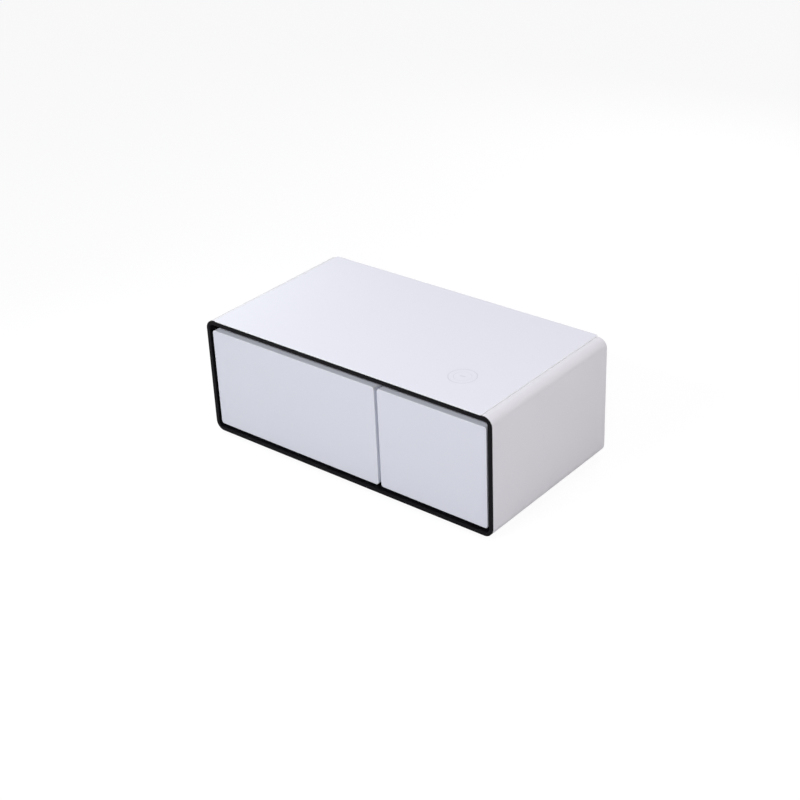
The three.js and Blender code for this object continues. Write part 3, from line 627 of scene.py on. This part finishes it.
GLASS_CORNER = 8 * MM
GLASS_INSET = 5 * MM
GLASS_EDGE = 3 * MM
GLASS_LOW_EDGE = 0.1 * MM
GLASS_BED = 0.05 * MM
glass_low, glass_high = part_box("glass_top")
mark_low, mark_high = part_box("charging_ring_mark")
mark_centre = middle(mark_low, mark_high)
mark_radius = (mark_high.x - mark_low.x) / 2
MARK_WIDTH = 3.2 * MM
MARK_PLAY = 0.15 * MM
MARK_STEPS = 96
INNER_MARK_RADIUS = 32 * MM
INNER_MARK_WIDTH = 0.8 * MM
DASH_LENGTH = 22 * MM
DASH_WIDTH = 6 * MM
DASH_TURN = math.radians(10)
DASH_STEPS = 8
EDGE_STEPS = 6
marks = [(mark_radius, MARK_WIDTH), (INNER_MARK_RADIUS, INNER_MARK_WIDTH)]


def ring_loops(outer, inner, low, high):
    profile = [(outer, low), (outer, high), (inner, high), (inner, low)]
    return circle_loops((mark_centre.x, mark_centre.y, 0), (0, 0, 1), profile, MARK_STEPS)


def dash_loops(play, low, high):
    """A short round-ended bar in the middle of the mark, turned a little in the glass."""
    across, along = DASH_LENGTH / 2 + play, DASH_WIDTH / 2 + play
    turn = Matrix.Translation((mark_centre.x, mark_centre.y, 0))
    turn @= Matrix.Rotation(DASH_TURN, 4, "Z")
    outline = rounded((-across, across, -along, along), along, DASH_STEPS)
    return [[turn @ Vector((x, y, z)) for x, y in outline] for z in (low, high)]


def glass_top():
    """The glass sheet, with its edges rounded and hollows for the printed mark."""
    half = body_high.x - TUBE_RADIUS - GLASS_INSET
    rect = (-half, half, glass_low.y, glass_high.y)
    low, high = body_high.z + GLASS_BED, glass_high.z
    profile = [
        *bend(GLASS_LOW_EDGE, low + GLASS_LOW_EDGE, GLASS_LOW_EDGE, 270, 180),
        *bend(GLASS_EDGE, high - GLASS_EDGE, GLASS_EDGE, 180, 90, EDGE_STEPS),
    ]
    bm = bmesh.new()
    loft(bm, level_loops(rect, GLASS_CORNER, profile))
    glass = piece("glass_top_sheet", bm, "top_glass", "cabinet", ["glass_top"])
    bm = bmesh.new()
    for outer, width in marks:
        inner = outer - width - MARK_PLAY
        loft(bm, ring_loops(outer + MARK_PLAY, inner, mark_low.z - FIT_GAP, high + MM), True)
    loft(bm, dash_loops(MARK_PLAY, mark_low.z - FIT_GAP, high + MM))
    carve(glass, bm)


def charging_mark():
    """Two printed rings and a short bar, flush with the glass over the charging coil."""
    low, high = mark_low.z, mark_high.z
    names = [("charging_ring_inlay", ["charging_ring_mark"]), ("charging_inner_ring_inlay", [])]
    for (outer, width), (name, replaced) in zip(marks, names):
        bm = bmesh.new()
        loft(bm, ring_loops(outer, outer - width, low, high), True)
        piece(name, bm, "ring_mark", "cabinet", replaced)
    bm = bmesh.new()
    loft(bm, dash_loops(0, low, high))
    piece("charging_dash_inlay", bm, "ring_mark", "cabinet")


# Drawer fronts and what is behind them

FRONT_CORNER = 11.5 * MM
FRONT_EDGE = 3 * MM
BACK_EDGE = 1 * MM
LAND_DEPTH = 44 * MM
HEEL_STEP = 0.6 * MM
LAND_SIDE_GAP = 2 * MM
SKIN_WALL = 2.5 * MM


def drawer_front(side):
    """A hollow painted front: a land at the face, and behind it a lower heel for the fingers."""
    low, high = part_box(f"{side}_front_skin")
    heel_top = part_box(f"{side}_inner_panel")[1].z
    left, right = low.x, high.x
    if side == "left":
        left += LAND_SIDE_GAP
    else:
        right -= LAND_SIDE_GAP
    land = (left, right, low.z, high.z)
    heel = (low.x, high.x, low.z, heel_top)
    land_back = low.y + LAND_DEPTH
    outside = [
        *bend(FRONT_EDGE, low.y + FRONT_EDGE, FRONT_EDGE, 270, 180, EDGE_STEPS),
        *bend(BACK_EDGE, land_back - BACK_EDGE, BACK_EDGE, 180, 90),
    ]
    inner = land_back - SKIN_WALL
    loops = [
        *upright_loops(land, FRONT_CORNER, outside),
        *upright_loops(heel, FRONT_CORNER, [(HEEL_STEP, land_back), (HEEL_STEP, high.y)]),
        *upright_loops(heel, FRONT_CORNER, [(SKIN_WALL, high.y), (SKIN_WALL, inner)]),
        *upright_loops(land, FRONT_CORNER, [(SKIN_WALL, inner), (SKIN_WALL, low.y + SKIN_WALL)]),
    ]
    bm = bmesh.new()
    loft(bm, loops)
    piece(f"{side}_front_painted", bm, "front_paint", f"{side}_drawer", [f"{side}_front_skin"])


GASKET_CORNER = 8 * MM
GASKET_WIDTH = 14 * MM
GASKET_SHARES = [(0.04, 0), (0, 0.2), (0.12, 0.38), (0.02, 0.55), (0.05, 0.85), (0.14, 1)]


def gasket(side):
    """A magnetic seal: a foot on the inner panel, one fold of bellows and a flat magnet strip."""
    low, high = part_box(f"{side}_gasket")
    rect = (low.x, high.x, low.z, high.z)
    depth = high.y - low.y
    left = [(across * GASKET_WIDTH, low.y + along * depth) for across, along in GASKET_SHARES]
    right = [(GASKET_WIDTH - across, y) for across, y in reversed(left)]
    bm = bmesh.new()
    loft(bm, upright_loops(rect, GASKET_CORNER, left + right), closed=True)
    piece(f"{side}_gasket_bellows", bm, "seal_rubber", f"{side}_drawer", [f"{side}_gasket"])


LINER_CORNER = 8 * MM
LINER_WALL = 2.5 * MM


def liner(side):
    """A vacuum-formed tub on its side, with rounded corners and a rounded back."""
    low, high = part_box(f"{side}_liner")
    rect = (low.x, high.x, low.z, high.z)
    outer = LINER_CORNER + LINER_WALL
    profile = [
        *bend(outer, high.y - outer, outer, 90, 180, EDGE_STEPS),
        (0, low.y),
        (LINER_WALL, low.y),
        *bend(outer, high.y - outer, LINER_CORNER, 180, 90, EDGE_STEPS),
    ]
    bm = bmesh.new()
    loft(bm, upright_loops(rect, outer, profile))
    piece(f"{side}_liner_formed", bm, "liner_plastic", "cabinet", [f"{side}_liner"])


BIN_CORNER = 16 * MM
BIN_WALL = 2.5 * MM
BIN_LIP = 3.7 * MM
BIN_LIP_THICKNESS = 3 * MM
BIN_FLOOR_RADIUS = 7 * MM
BIN_BAND_DEPTH = 1.4 * MM
BIN_BAND_SHARES = (0.55, 0.8)


def storage_bin(side):
    """A moulded bin with a rolled lip and a shallow band pressed into its walls."""
    low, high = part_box(f"{side}_bin")
    rect = inset((low.x, high.x, low.y, high.y), BIN_LIP)
    lip = high.z - BIN_LIP_THICKNESS
    radius = BIN_FLOOR_RADIUS
    inner = radius - BIN_WALL
    round_lip = BIN_LIP_THICKNESS / 2
    start, end = (low.z + share * (high.z - low.z) for share in BIN_BAND_SHARES)
    ramp = 2 * BIN_BAND_DEPTH
    band = [(0, start - ramp), (BIN_BAND_DEPTH, start), (BIN_BAND_DEPTH, end), (0, end + ramp)]
    profile = [
        *bend(radius, low.z + radius, radius, 270, 180, EDGE_STEPS),
        *band,
        (0, lip),
        *bend(round_lip - BIN_LIP, lip + round_lip, round_lip, 270, 90, EDGE_STEPS),
        *bend(BIN_WALL - round_lip / 2, high.z - round_lip / 2, round_lip / 2, 90, 0),
        *[(across + BIN_WALL, up) for across, up in reversed(band)],
        *bend(radius, low.z + radius, inner, 180, 270, EDGE_STEPS),
    ]
    bm = bmesh.new()
    loft(bm, level_loops(rect, BIN_CORNER, profile))
    piece(f"{side}_bin_moulded", bm, "bin_plastic", f"{side}_drawer", [f"{side}_bin"])


LAMP_DOME_SHARE = 0.6
LAMP_CORNER_EXTRA = 1 * MM
LAMP_STEPS = 5


def lamp(side):
    """A domed lens over the light in the liner's roof."""
    low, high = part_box(f"{side}_lamp")
    rect = (low.x, high.x, low.y, high.y)
    dome = (high.z - low.z) * LAMP_DOME_SHARE
    profile = [*bend(dome, low.z + dome, dome, 270, 180, LAMP_STEPS), (0, high.z)]
    bm = bmesh.new()
    loft(bm, level_loops(rect, dome + LAMP_CORNER_EXTRA, profile))
    piece(f"{side}_lamp_lens", bm, "lamp_lens", "cabinet", [f"{side}_lamp"])


ROUND_SHARP_ANGLE = 30
SOLE_SHARES = [(0.24, 0.45), (0.3, 0.45), (0.33, 0), (0.55, 0), (0.58, 0.1), (0.64, 0.1), (0.67, 0)]
FOOT_SIDE_SHARES = [(0.9, 0), (0.97, 0.06), (1, 0.22), (0.96, 0.6), (0.98, 0.92), (0.94, 1)]


def foot(name):
    """A rubber foot with a ribbed sole, a waist and a screw recess."""
    low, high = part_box(name)
    radius = (high.x - low.x) / 2
    height = high.z - low.z
    centre = (middle(low.x, high.x), middle(low.y, high.y), low.z)
    profile = [(a * radius, b * height) for a, b in SOLE_SHARES + FOOT_SIDE_SHARES]
    bm = bmesh.new()
    loft(bm, circle_loops(centre, (0, 0, 1), profile))
    piece(f"{name}_moulded", bm, "foot_rubber", "cabinet", [name], sharp=ROUND_SHARP_ANGLE)


CAN_HEIGHT = 158 * MM
CAN_SEAM = 3 * MM
CAN_SEAM_SHARE = 0.42
CAN_LOW_RADIUS = 30 * MM
CAN_LOW_STEPS = 8
CAN_HIGH_RADIUS = 46 * MM
CAN_HIGH_STEPS = 10
CAN_STEPS = 64
STUB_REACH = 30 * MM
STUB_RADIUS = 5 * MM
STUB_STEPS = 24


def compressor():
    """A welded can of two deep-drawn halves, with its rim and two stubs."""
    low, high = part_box("compressor")
    centre = (middle(low.x, high.x), middle(low.y, high.y), low.z)
    seam, height = CAN_SEAM, CAN_HEIGHT
    under, over = CAN_LOW_RADIUS, CAN_HIGH_RADIUS
    radius = (high.x - low.x) / 2 - seam
    rim = height * CAN_SEAM_SHARE
    profile = [
        *bend(radius - under, under, under, 270, 360, CAN_LOW_STEPS),
        (radius, rim - seam),
        *bend(radius + seam / 2, rim, seam / 2, -90, 90),
        (radius, rim + seam),
        *bend(radius - over, height - over, over, 0, 90, CAN_HIGH_STEPS),
    ]
    bm = bmesh.new()
    loft(bm, circle_loops(centre, (0, 0, 1), profile, CAN_STEPS))
    for side in (-1, 1):
        stub = (centre[0] + side * STUB_REACH, centre[1], low.z)
        profile = [(STUB_RADIUS, height / 2), (STUB_RADIUS, high.z - low.z)]
        loft(bm, circle_loops(stub, (0, 0, 1), profile, STUB_STEPS))
    sharp = ROUND_SHARP_ANGLE
    piece("compressor_can", bm, "compressor_black", "cabinet", ["compressor"], sharp=sharp)


# Fasteners and small parts

HEAD_PROFILE = [(1, 0), (1, 0.25), (0.88, 0.42), (0.6, 0.54), (0.44, 0.54), (0.36, 0.2)]
HEAD_STEPS = 20


def heads(name, places, axis, radius, body="cabinet"):
    """Pan-head screws with drive recesses. A place is a point on the face under the head."""
    bm = bmesh.new()
    profile = [(across * radius, up * radius) for across, up in HEAD_PROFILE]
    for place in places:
        loft(bm, circle_loops(place, axis, profile, HEAD_STEPS))
    piece(name, bm, "zinc_steel", body, sharp=ROUND_SHARP_ANGLE)


def spread(low, high, count):
    """Evenly spaced numbers from low to high."""
    return [low + (high - low) * i / (count - 1) for i in range(count)]


SCREWS_IN_ROW = 5
PANEL_SCREW_EDGE = 11 * MM
PANEL_SCREW_REACH = 560 * MM
PANEL_SCREW_HEIGHTS = (150 * MM, 330 * MM)
PANEL_SCREW_RADIUS = 4.5 * MM
INLET_SCREW_REACH = 17 * MM
INLET_SCREW_RADIUS = 2.2 * MM


def back_screws():
    """Screws round the back panel and beside the power inlet."""
    low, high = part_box("back_panel")
    edge, along = PANEL_SCREW_EDGE, spread(-PANEL_SCREW_REACH, PANEL_SCREW_REACH, SCREWS_IN_ROW)
    rows = [(x, z) for z in (low.z + edge, high.z - edge) for x in along]
    columns = [(x, z) for x in (low.x + edge, high.x - edge) for z in PANEL_SCREW_HEIGHTS]
    places = [(x, high.y, z) for x, z in rows + columns]
    heads("back_panel_screws", places, (0, 1, 0), PANEL_SCREW_RADIUS)
    low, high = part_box("power_inlet")
    centre = middle(low, high)
    places = [(centre.x + side * INLET_SCREW_REACH, high.y, centre.z) for side in (-1, 1)]
    heads("inlet_screws", places, (0, 1, 0), INLET_SCREW_RADIUS)


FOOT_SCREW_RADIUS = 4.4 * MM
FOOT_SCREW_RECESS_SHARE = 0.45
BASE_SCREW_RADIUS = 4 * MM
BASE_SCREW_REACH = 500 * MM
BASE_SCREW_ROWS = (-262 * MM, 197 * MM, 325 * MM)
feet = [row["node"] for row in frame["record"]["subparts"] if row["material_slot"] == "foot_rubber"]


def under_screws():
    """A screw in each foot's recess, and rows of screws up through the base board."""
    below = (0, 0, -1)
    places = []
    for name in feet:
        low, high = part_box(name)
        centre = middle(low, high)
        places.append((centre.x, centre.y, low.z + FOOT_SCREW_RECESS_SHARE * (high.z - low.z)))
    heads("foot_screws", places, below, FOOT_SCREW_RADIUS)
    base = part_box("base_board")[0].z
    along = spread(-BASE_SCREW_REACH, BASE_SCREW_REACH, SCREWS_IN_ROW)
    places = [(x, y, base) for y in BASE_SCREW_ROWS for x in along]
    heads("base_board_screws", places, below, BASE_SCREW_RADIUS)


PANEL_TOP_SCREW_HEIGHT = 395.3 * MM
PANEL_TOP_SCREW_EDGE = 50 * MM
PANEL_TOP_SCREW_RADIUS = 2.4 * MM
PLATE_SCREWS_IN_ROW = 4
PLATE_SCREW_EDGE = 12 * MM
PLATE_SCREW_RADIUS = 4 * MM


def drawer_screws(side):
    """Screws that hold the inner panel, and the cold plate on the liner's back."""
    low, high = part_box(f"{side}_inner_panel")
    edge, body = PANEL_TOP_SCREW_EDGE, f"{side}_drawer"
    along = spread(low.x + edge, high.x - edge, SCREWS_IN_ROW)
    places = [(x, high.y, PANEL_TOP_SCREW_HEIGHT) for x in along]
    heads(f"{side}_inner_panel_screws", places, (0, 1, 0), PANEL_TOP_SCREW_RADIUS, body)
    low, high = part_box(f"{side}_cold_plate")
    edge = PLATE_SCREW_EDGE
    along = spread(low.x + edge, high.x - edge, PLATE_SCREWS_IN_ROW)
    places = [(x, low.y, z) for z in (low.z + edge, high.z - edge) for x in along]
    heads(f"{side}_cold_plate_screws", places, (0, -1, 0), PLATE_SCREW_RADIUS)


FAN_SCREW_EDGE = 6 * MM
FAN_SCREW_RADIUS = 2.6 * MM
MOUNT_BOLT_EDGE = 14 * MM
MOUNT_BOLT_RADIUS = 6 * MM
GROMMET_STEPS = 24
GROMMET_HEIGHT = 8 * MM
GROMMET_PROFILE = [
    (8 * MM, 0), (9 * MM, 2 * MM), (7 * MM, 4 * MM), (9 * MM, 6 * MM), (8 * MM, GROMMET_HEIGHT),
]
RELAY_BOX_HALF_WIDTH = 20 * MM
RELAY_BOX_OUT = 16 * MM
RELAY_BOX_IN = 6 * MM
RELAY_BOX_HEIGHTS = (82 * MM, 132 * MM)
RELAY_BOX_EDGE = 3 * MM


def machine_parts():
    """Screws on the fan, bolts on rubber grommets on the compressor's mount, and a relay box."""
    low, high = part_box("fan_frame")
    edge = FAN_SCREW_EDGE
    columns, rows = (low.x + edge, high.x - edge), (low.z + edge, high.z - edge)
    places = [(x, low.y, z) for x in columns for z in rows]
    heads("fan_screws", places, (0, -1, 0), FAN_SCREW_RADIUS)
    low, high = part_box("compressor_mount")
    edge = MOUNT_BOLT_EDGE
    columns, rows = (low.x + edge, high.x - edge), (low.y + edge, high.y - edge)
    places = [(x, y, high.z) for x in columns for y in rows]
    bm = bmesh.new()
    for place in places:
        loft(bm, circle_loops(place, (0, 0, 1), GROMMET_PROFILE, GROMMET_STEPS))
    piece("mount_grommets", bm, "foot_rubber", "cabinet", sharp=ROUND_SHARP_ANGLE)
    places = [(x, y, z + GROMMET_HEIGHT) for x, y, z in places]
    heads("mount_bolts", places, (0, 0, 1), MOUNT_BOLT_RADIUS)
    low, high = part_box("compressor")
    centre, half = middle(low, high).y, RELAY_BOX_HALF_WIDTH
    under, top = RELAY_BOX_HEIGHTS
    outer, inner = low.x - RELAY_BOX_OUT, low.x + RELAY_BOX_IN
    bm = bmesh.new()
    block(bm, (outer, centre - half, under), (inner, centre + half, top))
    piece("compressor_relay_box", bm, "black_plastic", "cabinet", bevel=RELAY_BOX_EDGE)


shells()
front_frame()
glass_top()
charging_mark()
for side in ("left", "right"):
    drawer_front(side)
    gasket(side)
    liner(side)
    storage_bin(side)
    lamp(side)
    drawer_screws(side)
for name in feet:
    foot(name)
compressor()
back_screws()
under_screws()
machine_parts()


# Camera: the photograph's, found from the table's sharp corners

LENS = 71.38
SENSOR = 36.0
CAMERA_TARGET = Vector((0, 0, 0.245))
CAMERA_DISTANCE = 5.8346
CAMERA_SHIFT = Vector((0.01665, 0.05674))
CAMERA_YAW = math.radians(40.056)
CAMERA_PITCH = math.radians(29.069)
CAMERA_ROLL = math.radians(-2.465)


def camera():
    """A camera turned by yaw, pitch and roll round the target, then slid across its view."""
    data = bpy.data.cameras.new("camera")
    data.lens = LENS
    data.sensor_width = SENSOR
    obj = bpy.data.objects.new("camera", data)
    scene.collection.objects.link(obj)
    level = math.cos(CAMERA_PITCH)
    forward = Vector((
        -math.sin(CAMERA_YAW) * level, math.cos(CAMERA_YAW) * level, -math.sin(CAMERA_PITCH),
    ))
    right = Vector((math.cos(CAMERA_YAW), math.sin(CAMERA_YAW), 0))
    up = right.cross(forward)
    rolled_right = right * math.cos(CAMERA_ROLL) + up * math.sin(CAMERA_ROLL)
    rolled_up = up * math.cos(CAMERA_ROLL) - right * math.sin(CAMERA_ROLL)
    turn = Matrix((rolled_right, rolled_up, -forward)).transposed().to_4x4()
    place = CAMERA_TARGET - forward * CAMERA_DISTANCE
    place -= rolled_right * CAMERA_SHIFT.x + rolled_up * CAMERA_SHIFT.y
    obj.matrix_world = Matrix.Translation(place) @ turn
    scene.camera = obj


# Light and floor

WORLD_SEEN = 1.0
WORLD_LIGHT = 0.09
WORLD_GLOSS = 1.0


def ray_mix(tree, kind, otherwise, value):
    """One value for rays of a kind, and another, or a socket's, for all others."""
    mix = tree.nodes.new("ShaderNodeMix")
    path = tree.nodes.new("ShaderNodeLightPath")
    tree.links.new(path.outputs[kind], mix.inputs["Factor"])
    mix.inputs["B"].default_value = value
    if isinstance(otherwise, float):
        mix.inputs["A"].default_value = otherwise
    else:
        tree.links.new(otherwise, mix.inputs["A"])
    return mix.outputs["Result"]


def world():
    """An even white studio, seen as pure white and dimmer as a light."""
    made = bpy.data.worlds.new("studio")
    made.use_nodes = True
    scene.world = made
    tree = made.node_tree
    background = tree.nodes["Background"]
    strength = ray_mix(tree, "Is Glossy Ray", WORLD_LIGHT, WORLD_GLOSS)
    strength = ray_mix(tree, "Is Transmission Ray", strength, WORLD_GLOSS)
    strength = ray_mix(tree, "Is Camera Ray", strength, WORLD_SEEN)
    tree.links.new(strength, background.inputs["Strength"])
    background.inputs["Color"].default_value = (1, 1, 1, 1)


def lamp_light(name, place, target, size, power, colour):
    """A soft box that looks at its target, and doesn't show in reflections."""
    data = bpy.data.lights.new(name, "AREA")
    data.shape = "RECTANGLE"
    data.size, data.size_y = size
    data.energy = power
    data.color = colour
    obj = bpy.data.objects.new(name, data)
    scene.collection.objects.link(obj)
    obj.location = place
    obj.rotation_euler = (Vector(target) - Vector(place)).to_track_quat("-Z", "Y").to_euler()
    obj.visible_glossy = False


FLOOR_HALF = 30
FLOOR_GLOW = 1.1
FLOOR_GLOW_SHARE = 0.83


def floor():
    """A white sweep that keeps the table's soft shadow."""
    half = FLOOR_HALF
    corners = [(-half, -half, 0), (half, -half, 0), (half, half, 0), (-half, half, 0)]
    mesh = bpy.data.meshes.new("floor")
    mesh.from_pydata(corners, [], [(0, 1, 2, 3)])
    obj = bpy.data.objects.new("floor", mesh)
    scene.collection.objects.link(obj)
    white, shade = (0.72, 0.72, 0.73), (0.71, 0.71, 0.72)
    surface = Surface("floor_white", white, 0.7)
    surface.colour(surface.mixed(surface.noise(300 * MM), white, shade))
    tree = surface.tree
    glow = tree.nodes.new("ShaderNodeEmission")
    glow.inputs["Strength"].default_value = FLOOR_GLOW
    mix = tree.nodes.new("ShaderNodeMixShader")
    tree.links.new(ray_mix(tree, "Is Camera Ray", 0.0, FLOOR_GLOW_SHARE), mix.inputs["Fac"])
    tree.links.new(surface.shader.outputs[0], mix.inputs[1])
    tree.links.new(glow.outputs[0], mix.inputs[2])
    tree.links.new(mix.outputs[0], tree.nodes["Material Output"].inputs["Surface"])
    mesh.materials.append(surface.material)


# Each lamp's name, place, target, size in metres, power in watts and colour
LAMPS = [
    ("front", (-0.6, -3.5, 3.1), (0, -0.35, 0.43), (1.6, 0.25), 98.5, (0.945, 0.955, 1.0)),
    ("fill", (2.3, -3.0, 2.3), (0.2, -0.35, 0.4), (0.8, 0.5), 22, (0.96, 0.965, 1.0)),
    ("side", (3.6, 0.2, 1.7), (0.6, 0.0, 0.3), (1.6, 1.2), 39, (0.995, 0.965, 0.985)),
    ("top", (0.2, 0.4, 3.2), (0, 0, 0.4), (2.4, 2.4), 28.4, (0.935, 0.905, 1.0)),
    ("corner", (-1.6, -0.25, 1.15), (-0.6, -0.3, 0.48), (0.4, 0.4), 6.9, (0.93, 1.0, 0.96)),
    ("back", (-0.6, 3.6, 1.8), (0, 0.3, 0.3), (1.6, 1.2), 30, (1, 1, 1)),
]

camera()
world()
floor()
for lamp_row in LAMPS:
    lamp_light(*lamp_row)

scene.view_settings.view_transform = "Standard"
